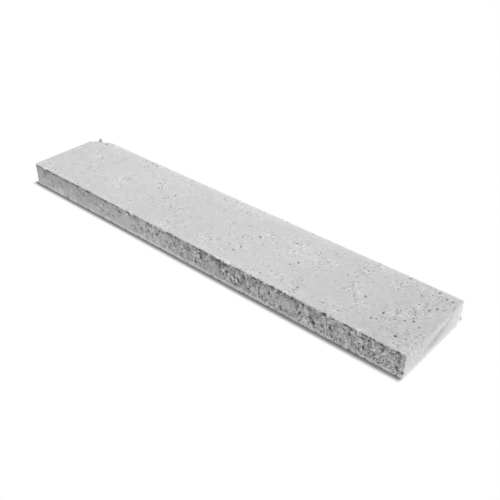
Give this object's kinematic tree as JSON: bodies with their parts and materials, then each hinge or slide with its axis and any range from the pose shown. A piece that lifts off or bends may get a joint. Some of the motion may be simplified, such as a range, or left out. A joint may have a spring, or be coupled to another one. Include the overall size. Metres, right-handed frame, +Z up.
{
  "type": "concrete kerb stone",
  "caption": "Long flat concrete edging kerb of rectangular section with rounded crown edges, a pitted foot and butt ends; it borders paths and lawns.",
  "frame": {"origin": "middle of the wide side that the kerb lies on, at floor level", "axes": "+X along the kerb, +Y from the pitted foot to the rounded crown, +Z up from the floor through the thickness"},
  "size_m": [1, 0.2, 0.05],
  "materials": {
    "concrete": "matte"
  },
  "bodies": {
    "root": {"kerb_stone": "concrete"}
  },
  "joints": []
}
